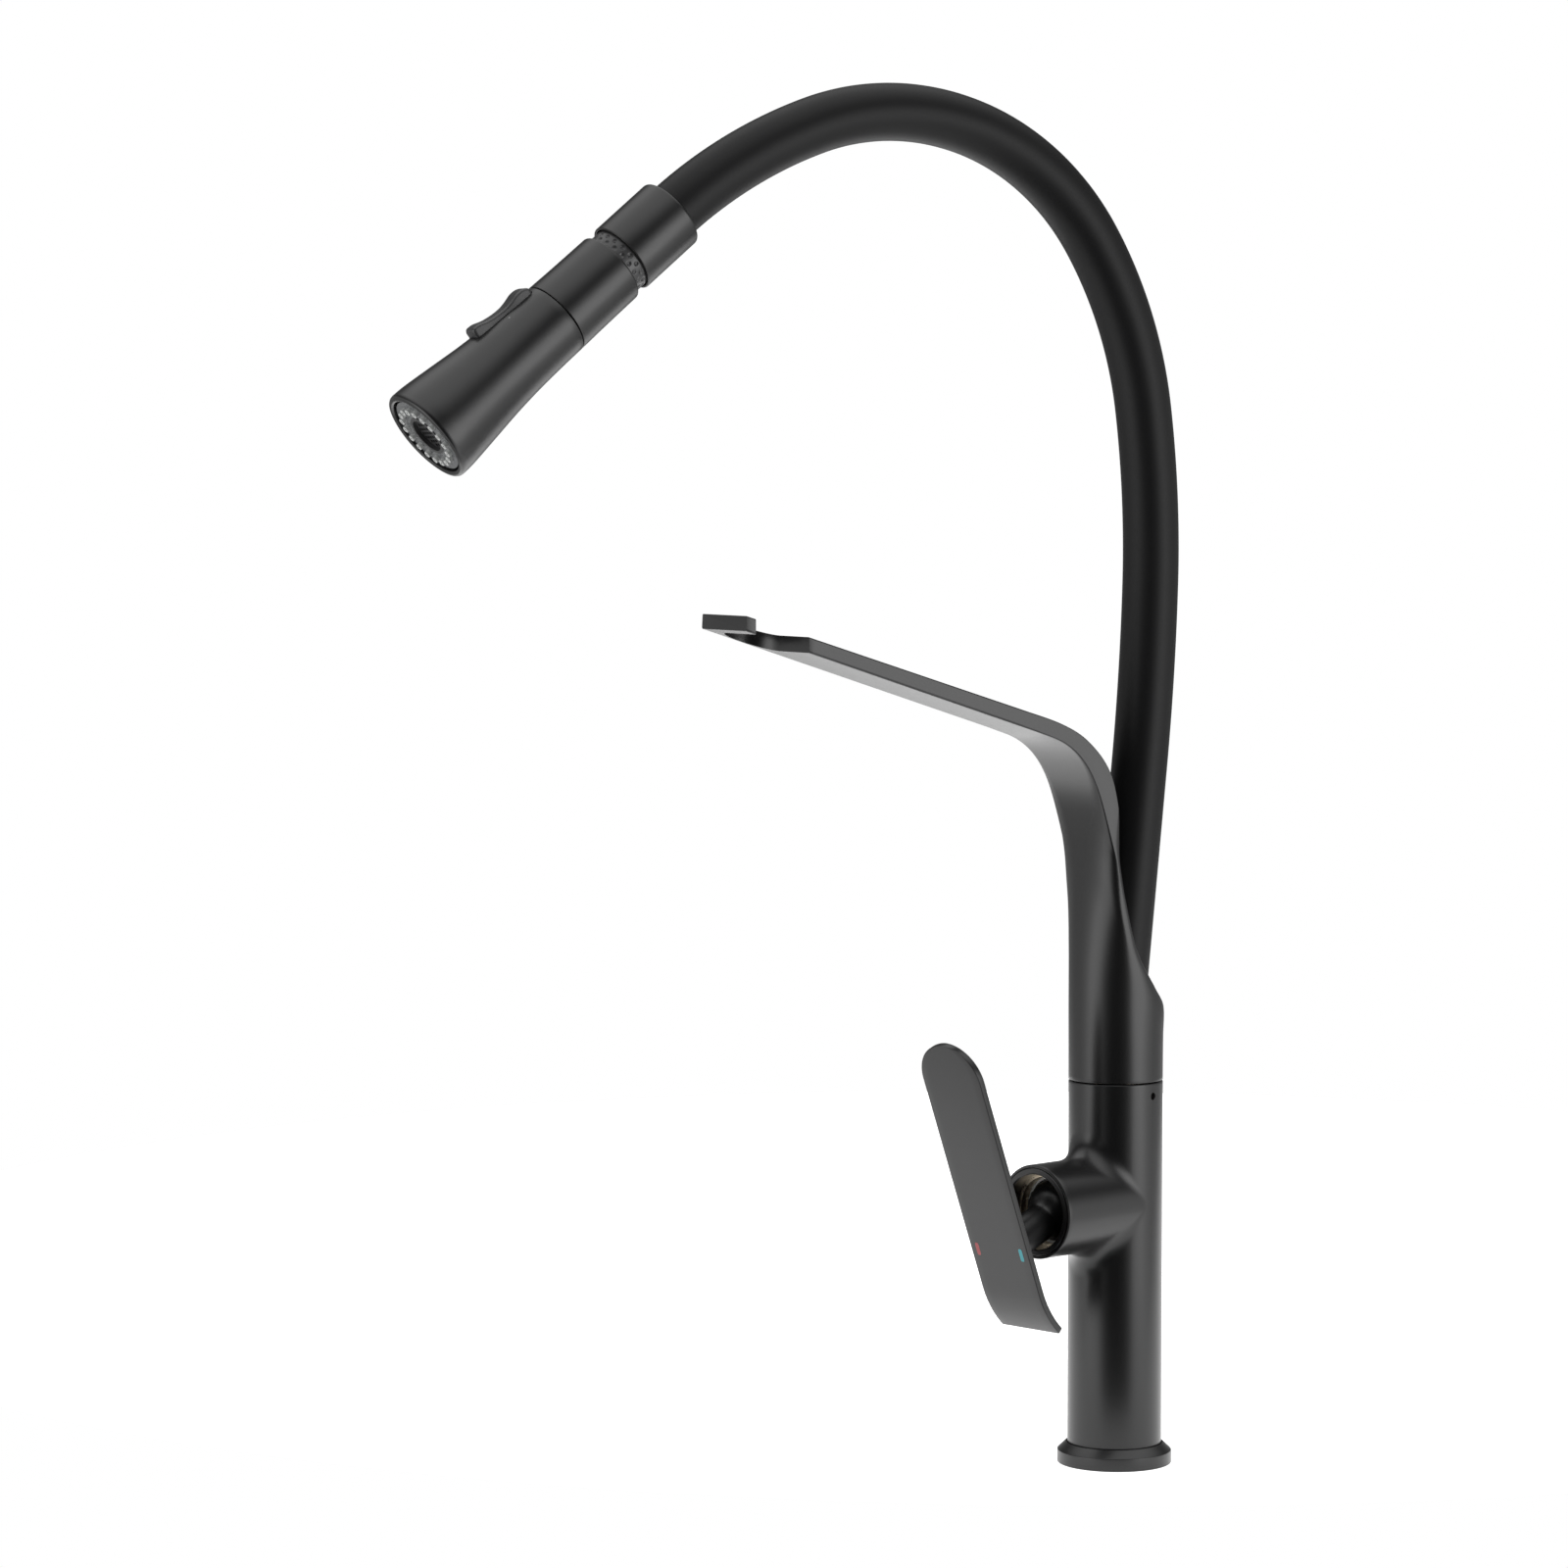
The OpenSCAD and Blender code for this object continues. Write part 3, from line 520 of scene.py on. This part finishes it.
def build_lever(mats):
    place = in_lever() @ Matrix.Translation((0, 0, NECK_END * MM))
    top = LEVER_UP
    r = LEVER_W / 2
    s_low = -LEVER_LOW - math.radians(28) * (LEVER_BEND - LEVER_T / 2)
    stations = [s_low, s_low + 0.25, s_low + 0.6, s_low + 1.1]
    stations += list(np.linspace(s_low + 2, top - r, 46))
    stations += [top - r + r * math.sin(math.pi / 2 * k / 36) for k in range(1, 36)]
    edge = 0.55
    rings = []
    for s in stations:
        half = r if s <= top - r else math.sqrt(max(r * r - (s - top + r) ** 2, 0.3))
        inset = max(0, 1.1 - (s - s_low))
        half -= 1.1 - math.sqrt(max(0, 1.1 ** 2 - inset ** 2))
        grow = math.sqrt(max(0.05, 1 - max(0, 0.55 - (s - s_low)) ** 2 / 0.55 ** 2))
        ring = []
        for cx, cy, a0 in ((half - edge, LEVER_T - edge, 0), (-half + edge, LEVER_T - edge, 90),
                           (-half + edge, edge, 180), (half - edge, edge, 270)):
            for k in range(6):
                a = math.radians(a0 + 18 * k)
                x = cx + edge * math.cos(a)
                n = LEVER_T / 2 + (cy + edge * math.sin(a) - LEVER_T / 2) * grow
                y, z = lever_place(s, n)
                ring.append(place @ (Vector((x, y, z)) * MM))
            if a0 in (0, 180):
                sign = 1 if a0 == 0 else -1
                for k in range(1, 8):
                    x = sign * (half - edge) * (1 - 2 * k / 8)
                    n = LEVER_T / 2 + ((LEVER_T if a0 == 0 else 0) - LEVER_T / 2) * grow
                    y, z = lever_place(s, n)
                    ring.append(place @ (Vector((x, y, z)) * MM))
        rings.append(ring)
    verts, faces = loft(rings)
    plate = new_object("lever_plate", verts, faces)
    face_out(plate)
    sharpen(plate, 50)
    # domed cap and neck, one smooth turned piece
    profile = [(11.2, -0.4), (11.6, -0.5), (14.5, -0.5), (14.86, -0.1)]
    profile += [(14.9 * math.cos(a), 14.9 * math.sin(a))
                for a in (math.radians(k) for k in range(2, 49, 3))]
    profile += [(9.35, 12.0), (8.75, 12.9), (8.45, 14), (8.4, 16), (8.4, 22), (8.55, 26), (9.1, 31),
                (9.9, 35.5), (10.9, 39), (12.2, 40.5), (0.1, 41.2)]
    profile += [(0.1, 13.55), (4.6, 13.55)]
    profile += [(11.2 * math.sin(a), 11.2 * math.cos(a))
                for a in (math.radians(k) for k in range(25, 90, 5))]
    neck = revolve("lever_neck", profile, in_lever(), 128)
    sharpen(neck, 40)
    for obj in (plate, neck):
        dress(obj, mats, "matte_black", "lever")
    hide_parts("handle_lever")
    # printed marks: thin rounded pads a hair proud of the plate
    for name, side in (("hot_mark", -1), ("cold_mark", 1)):
        x0 = side * (r - 4.4)
        ring_low, ring_high = [], []
        for k in range(32):
            a = 2 * math.pi * k / 32
            x = x0 + math.copysign(abs(math.cos(a)) ** 0.45, math.cos(a)) * 1.1
            y = math.copysign(abs(math.sin(a)) ** 0.45, math.sin(a)) * 3.2
            ring_low.append(place @ (Vector((x, y, LEVER_T - 0.3)) * MM))
            ring_high.append(place @ (Vector((x, y, LEVER_T + 0.02)) * MM))
        v, f = loft([ring_low, ring_high])
        pad = new_object(name + "_print", v, f)
        face_out(pad)
        sharpen(pad, 35)
        paint = "hot_paint" if side < 0 else "cold_paint"
        dress(pad, mats, paint, "lever")
        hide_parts(name)
    return plate


# ------------------------------------------------------------------ column
def column_field(p):
    """Distance-like field of the column and boss, joined by a soft fillet."""
    c, s = math.cos(BOSS_TURN), math.sin(BOSS_TURN)
    x, y, z = p[:, 0], p[:, 1], p[:, 2] - BOSS_Z
    r1 = np.hypot(x, y) + 1e-9
    d1 = r1 - COLUMN_R
    v = x * s - y * c
    lat = x * c + y * s
    r2 = np.hypot(lat, z) + 1e-9
    d2 = r2 - BOSS_R
    d2 = np.where(v < 0, np.maximum(d2, -v), d2)
    n_dot = (x / r1) * (lat / r2) * c + (y / r1) * (lat / r2) * s
    k = FILLET * np.clip(1 - n_dot, 0, 1) ** 1.3 + 0.02
    h = np.clip(0.5 + 0.5 * (d2 - d1) / k, 0, 1)
    return d2 * (1 - h) + d1 * h - k * h * (1 - h)


def build_column(mats):
    place = in_boss()
    low, high = 88.0, 160.0
    barrel = revolve("column_shell", [(0, low - 6), (COLUMN_R, low - 6), (COLUMN_R, high + 6),
                                      (0, high + 6)], Matrix.Identity(4), 128, False)
    boss = revolve("boss", [(0, 0), (BOSS_R, 0), (BOSS_R, BOSS_REACH + 6), (0, BOSS_REACH + 6)],
                   place, 128, False)
    cut(barrel, boss, operation="UNION")
    m = barrel.modifiers.new("remesh", "REMESH")
    m.mode = "VOXEL"
    m.voxel_size = 0.9 * MM
    apply_modifiers(barrel)
    mesh = barrel.data
    co = np.zeros(len(mesh.vertices) * 3)
    mesh.vertices.foreach_get("co", co)
    p = co.reshape(-1, 3) / MM
    c, s = math.cos(BOSS_TURN), math.sin(BOSS_TURN)
    v = p[:, 0] * s - p[:, 1] * c
    inside = (p[:, 2] > low - 5) & (p[:, 2] < high + 5) & (v < BOSS_REACH + 5)
    q = p[inside].copy()
    step = 0.05
    for _ in range(14):
        f = column_field(q)
        g = np.stack([(column_field(q + np.eye(3)[i] * step) - f) / step for i in range(3)], 1)
        norm = np.maximum((g * g).sum(1), 0.2)
        q -= 0.8 * g * (f / norm)[:, None]
    p[inside] = q
    mesh.vertices.foreach_set("co", (p * MM).ravel())
    mesh.update()
    bm = bmesh.new()
    bm.from_mesh(mesh)
    for point, normal in (((0, 0, low * MM), (0, 0, -1)), ((0, 0, high * MM), (0, 0, 1)),
                          (tuple(place @ Vector((0, 0, (BOSS_REACH - 3) * MM))),
                           (s, -c, 0))):
        geom = bm.verts[:] + bm.edges[:] + bm.faces[:]
        bmesh.ops.bisect_plane(bm, geom=geom, dist=1e-6, plane_co=point, plane_no=normal,
                               clear_outer=True)
    bm.to_mesh(mesh)
    bm.free()
    for poly in mesh.polygons:
        poly.use_smooth = True
    # plain lengths above and below, the rim of the boss, and its bore
    parts = [
        revolve("upper", [(17.5, 150), (17.5, COLUMN_TOP), (COLUMN_R - 0.6, COLUMN_TOP),
                          (COLUMN_R - 0.25, COLUMN_TOP - 0.1), (COLUMN_R - 0.06, COLUMN_TOP - 0.3),
                          (COLUMN_R, COLUMN_TOP - 0.6), (COLUMN_R, COLUMN_TOP - 1.2),
                          (COLUMN_R, high)], Matrix.Identity(4), 192, False),
        revolve("lower", [(COLUMN_R, low), (COLUMN_R, 9.2), (COLUMN_R - 0.1, 8.6),
                          (COLUMN_R - 0.5, 8.1), (COLUMN_R - 1.2, 8.0), (15, 8.0)],
                Matrix.Identity(4), 192, False),
        revolve("rim", [(BOSS_R, BOSS_REACH - 3), (BOSS_R, BOSS_REACH - 0.7),
                        (BOSS_R - 0.1, BOSS_REACH - 0.3), (BOSS_R - 0.35, BOSS_REACH - 0.06),
                        (BOSS_R - 0.65, BOSS_REACH), (20.75, BOSS_REACH),
                        (20.58, BOSS_REACH - 0.06), (20.5, BOSS_REACH - 0.3),
                        (20.5, BOSS_REACH - 7.5), (18.4, BOSS_REACH - 7.5),
                        (18.4, BOSS_REACH - 14), (17.5, BOSS_REACH - 14), (17.5, 14), (0.2, 14)],
                place, 192, False),
    ]
    # grub screw hole near the top: a small cup sunk in the wall
    hole = (Matrix.Rotation(math.radians(111), 4, "Z")
            @ Matrix.Translation((0, -COLUMN_R * MM, (COLUMN_TOP - 6) * MM))
            @ Matrix.Rotation(-math.pi / 2, 4, "X"))
    upper = parts[0]
    drill = revolve("drill", [(0, -2), (1.9, -2), (1.9, -0.12), (1.6, 0.3), (1.6, 3.6), (0, 3.6)],
                    hole, 48, False)
    cut(upper, drill)
    sharpen(upper, 40)
    for obj in parts[1:]:
        sharpen(obj, 40)
    bm = bmesh.new()
    for obj in [barrel] + parts:
        bm.from_mesh(obj.data)
    for obj in parts:
        bpy.data.objects.remove(obj)
    bm.to_mesh(mesh)
    bm.free()
    dress(barrel, mats, "matte_black", "tap")
    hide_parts("column_body")
    return barrel


# ------------------------------------------------------------- turned parts
def turned(name, profile, place, body, mats, slot_name, *nodes, steps=192, angle=35):
    obj = revolve(name, profile, place, steps)
    sharpen(obj, angle)
    dress(obj, mats, slot_name, body)
    if nodes:
        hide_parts(*nodes)
    return obj


def build_flange(mats):
    pts = [(15, 0), (26.45, 0), (26.75, 0.3), (26.75, 6.0), (22.95, 9.55), (22.35, 9.55),
           (22.35, 8), (15, 8)]
    outline = rounded(pts, [0, 0.2, 0.3, 0.7, 0.35, 0.1, 0, 0])
    return turned("base_ring", outline, Matrix.Identity(4), "tap", mats, "matte_black",
                  "base_flange")


def build_collar(mats):
    pts = [(11.5, 0), (13.1, 0), (COLLAR_R, 0), (COLLAR_R, COLLAR_L), (15.6, COLLAR_L),
           (15.6, 26), (11.5, 26)]
    outline = rounded(pts, [0, 0, 1.3, 0.9, 0.3, 0.4, 0], 6)
    return turned("hose_collar_shell", outline, in_head(), "hose_end", mats, "matte_black",
                  "hose_collar")


def build_neck(mats):
    """The dimpled ring between the collar and the spray head."""
    outer = [(NECK_R, s) for s in np.arange(28, NECK_S - 0.3, 0.3)]
    outline = [(8, 28)] + outer + [(NECK_R - 0.1, NECK_S - 0.1), (14, NECK_S), (14, NECK_S + 8),
                                   (9.6, NECK_S + 8), (9.6, NECK_S - 2.4), (8, NECK_S - 2.4)]
    obj = revolve("neck_grip", outline, Matrix.Identity(4), 360)
    for v in obj.data.vertices:
        x, y, z = v.co / MM
        r = math.hypot(x, y)
        if abs(r - NECK_R) > 0.01:
            continue
        for row, height in enumerate((NECK_S - 1.9, NECK_S - 4.7)):
            turn = math.degrees(math.atan2(y, x)) / DIMPLE_STEP - row / 2
            across = math.radians((turn - round(turn)) * DIMPLE_STEP) * NECK_R
            d = math.hypot(across, z - height) / DIMPLE_R
            if d < 1:
                k = (r - DIMPLE_DEEP * (1 - d * d)) / r
                v.co.x, v.co.y = x * k * MM, y * k * MM
    obj.data.transform(in_head())
    sharpen(obj, 40)
    dress(obj, mats, "black_plastic", "head")
    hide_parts("neck_ring")
    return obj


def build_upper_shell(mats):
    line = [(16.9, NECK_S), (17.0, NECK_S + 12), (17.15, NECK_S + 24), (HEAD_R, JOINT_S)]
    pts = [(14, NECK_S)] + line + [(14, JOINT_S)]
    outline = rounded(pts, [0, 1.1, 0, 0, 0.35, 0], 6)
    return turned("spray_upper_shell", outline, in_head(), "head", mats, "matte_black",
                  "upper_shell")


def build_lower_shell(mats):
    side = curve_through([(HEAD_R, JOINT_S + 0.5), (17.6, JOINT_S + 14), (18.1, JOINT_S + 28),
                          (19.1, JOINT_S + 42), (20.6, JOINT_S + 56), (21.8, JOINT_S + 67),
                          (22.45, JOINT_S + 74), (22.6, FACE_S - 1.9)], 8)
    start = [(HEAD_R - 0.35, JOINT_S + 0.5), (HEAD_R - 0.1, JOINT_S + 0.58),
             (HEAD_R, JOINT_S + 0.85)]
    rim = [(22.45, FACE_S - 1.0), (22.0, FACE_S - 0.35), (21.3, FACE_S - 0.05),
           (20.6, FACE_S), (20.0, FACE_S - 0.12), (RIM_R + 0.1, FACE_S - 0.5),
           (RIM_R, FACE_S - 1.1), (RIM_R, 135), (14.6, 127), (14.6, JOINT_S + 5),
           (12, JOINT_S + 2), (12, JOINT_S - 11), (14, JOINT_S - 11), (14, JOINT_S + 0.5)]
    outline = start + [tuple(q) for q in side[2:]] + rim
    obj = revolve("spray_lower_shell", outline, in_head(), 192)
    # button pocket with rounded corners
    half_w, half_l = BUTTON_W / 2 + 0.4, BUTTON_L / 2 + 0.5
    ring = []
    for cx, cz, a0 in ((1, 1, 0), (-1, 1, 90), (-1, -1, 180), (1, -1, 270)):
        for k in range(7):
            a = math.radians(a0 + 15 * k)
            ring.append((cx * (half_w - 1.6) + 1.6 * math.cos(a),
                         BUTTON_S + cz * (half_l - 1.6) + 1.6 * math.sin(a)))
    place = in_head()
    v, f = loft([[place @ (Vector((x, y, z)) * MM) for x, z in ring] for y in (12.5, 30)])
    pocket = new_object("pocket", v, f)
    face_out(pocket)
    cut(obj, pocket)
    sharpen(obj, 35)
    dress(obj, mats, "matte_black", "head")
    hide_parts("lower_shell")
    return obj


def build_button(mats):
    """Rocker: a saddle with its upper end full and its lower end lifted."""
    place = (in_head() @ Matrix.Translation((0, BUTTON_Y * MM, BUTTON_S * MM))
             @ Matrix.Rotation(math.radians(-4), 4, "X"))
    half = BUTTON_L / 2
    top = curve_through([(-half, 5.3), (-half + 3, 6.4), (-half + 6.5, 6.35), (-half + 10.5, 5.2),
                         (-2, 4.45), (3, 4.4), (8, 4.95), (half - 4, 6.1), (half, 6.0)], 7)
    rings = []
    for i, (s, y) in enumerate(top):
        t = min(1, (s + half) / 1.4, (half - s) / 1.4)
        shrink = math.sqrt(max(0.06, 1 - (1 - t) ** 2))
        waist = 1 - 0.1 * math.exp(-((s - 1) / 6.5) ** 2)
        w = BUTTON_W / 2 * waist * (0.8 + 0.2 * shrink)
        hi = -2.2 + (y + 2.2) * (0.86 + 0.14 * shrink)
        edge = 1.15
        ring = []
        for cx, a0 in ((1, 0), (-1, 90)):
            for k in range(7):
                a = math.radians(a0 + 15 * k)
                ring.append((cx * (w - edge) + edge * math.cos(a),
                             hi - edge + edge * math.sin(a)))
            if a0 == 0:
                for k in range(1, 8):
                    ring.append(((w - edge) * (1 - 2 * k / 8), hi - 0.22 * math.sin(math.pi * k / 8)
                                 * math.exp(-(s / 9) ** 2)))
        ring += [(-w, -2.2), (w, -2.2)]
        rings.append([place @ (Vector((x, y2, s)) * MM) for x, y2 in ring])
    v, f = loft(rings)
    obj = new_object("rocker", v, f)
    face_out(obj)
    sharpen(obj, 45)
    dress(obj, mats, "black_plastic", "button")
    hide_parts("spray_button")
    return obj


# -------------------------------------------------------------------- stage
def softbox(name, back, right, turn, power):
    """A square soft light, turned by so many degrees from the camera's side of the object."""
    a = math.radians(turn)
    data = bpy.data.lights.new(name, "AREA")
    data.shape = "RECTANGLE"
    data.size, data.size_y = SOFTBOX_SIZE, SOFTBOX_SIZE
    data.energy = power
    obj = bpy.data.objects.new(name, data)
    bpy.context.scene.collection.objects.link(obj)
    place = LIT_CENTRE + (back * math.cos(a) + right * math.sin(a)) * SOFTBOX_AWAY
    obj.location = place
    obj.rotation_mode = "QUATERNION"
    obj.rotation_quaternion = (LIT_CENTRE - place).to_track_quat("-Z", "Y")


def build_stage(back, right):
    world = bpy.data.worlds.new("studio")
    bpy.context.scene.world = world
    world.use_nodes = True
    nt = world.node_tree
    bg = nt.nodes["Background"]
    bg.inputs["Color"].default_value = (1, 1, 1, 1)
    # a white tent around the object, dark at its opening; the air behind it shows white
    way = nt.nodes.new("ShaderNodeTexCoord").outputs["Generated"]

    def along(axis):
        dot = nt.nodes.new("ShaderNodeVectorMath")
        dot.operation = "DOT_PRODUCT"
        dot.inputs[1].default_value = axis
        nt.links.new(way, dot.inputs[0])
        return dot.outputs["Value"]

    def math_node(operation, *values):
        node = nt.nodes.new("ShaderNodeMath")
        node.operation = operation
        for socket, value in zip(node.inputs, values):
            if isinstance(value, (int, float)):
                socket.default_value = value
            else:
                nt.links.new(value, socket)
        return node.outputs[0]

    def levels(angle, stops_at):
        tone = nt.nodes.new("ShaderNodeValToRGB")
        stops = tone.color_ramp.elements
        while len(stops) < len(stops_at):
            stops.new(0.5)
        for stop, (degrees, level) in zip(stops, stops_at):
            stop.position = degrees / 180
            stop.color = (level / 2, level / 2, level / 2, 1)
        nt.links.new(math_node("DIVIDE", angle, math.pi), tone.inputs["Fac"])
        return math_node("MULTIPLY", tone.outputs["Color"], 2.0)

    turn = math_node("ARCTAN2", math_node("ABSOLUTE", along(right)), along(back))
    height = math_node("ARCSINE", along((0, 0, 1)))
    low, high = (math.radians(v) for v in SIDES_END)
    sides = math_node("MULTIPLY", levels(turn, TENT_SIDES), ramp(nt, height, 1.0, 0.0, low, high))
    tent = math_node("ADD", sides, levels(height, TENT_TOP))
    seen = nt.nodes.new("ShaderNodeLightPath")
    mix = nt.nodes.new("ShaderNodeMix")
    mix.data_type = "FLOAT"
    mix.inputs["B"].default_value = 1.0
    nt.links.new(seen.outputs["Is Camera Ray"], mix.inputs["Factor"])
    nt.links.new(tent, mix.inputs["A"])
    nt.links.new(mix.outputs["Result"], bg.inputs["Strength"])
    # pale floor, lit like a light table
    n = 96
    ring0 = [FLOOR_R * Vector((math.cos(2 * math.pi * k / n), math.sin(2 * math.pi * k / n), 0))
             - back * (FLOOR_R - FLOOR_FRONT) for k in range(n)]
    floor = new_object("floor", ring0, [tuple(range(n))])
    mat, nt, bsdf = nodes_of("floor_paint")
    tex = noise(nt, 6.0, 2)
    nt.links.new(mix_color(nt, tex.outputs["Fac"], (0.87, 0.87, 0.87), (0.9, 0.9, 0.9)),
                 bsdf.inputs["Base Color"])
    bsdf.inputs["Roughness"].default_value = 0.9
    bsdf.inputs["Emission Color"].default_value = (1, 1, 1, 1)
    bsdf.inputs["Emission Strength"].default_value = FLOOR_GLOW
    floor.data.materials.append(mat)
    softbox("key_left", back, right, -60, 3)
    softbox("key_right", back, right, 55, 5)


# --------------------------------------------------------------------- main
def finish_nodes(mats):
    slots = {}
    for part in frame["record"]["subparts"]:
        slots[part["node"]] = part["material_slot"]
    for name, obj in NODES.items():
        obj.data.materials.clear()
        obj.data.materials.append(mats[slots[name]])


bpy.context.scene.view_settings.view_transform = "Standard"
BACK, RIGHT = add_camera()
MATS = make_materials()
finish_nodes(MATS)
build_hose(MATS)
build_arm(MATS)
build_lever(MATS)
build_column(MATS)
build_flange(MATS)
build_collar(MATS)
build_neck(MATS)
build_upper_shell(MATS)
build_lower_shell(MATS)
build_button(MATS)
build_stage(BACK, RIGHT)
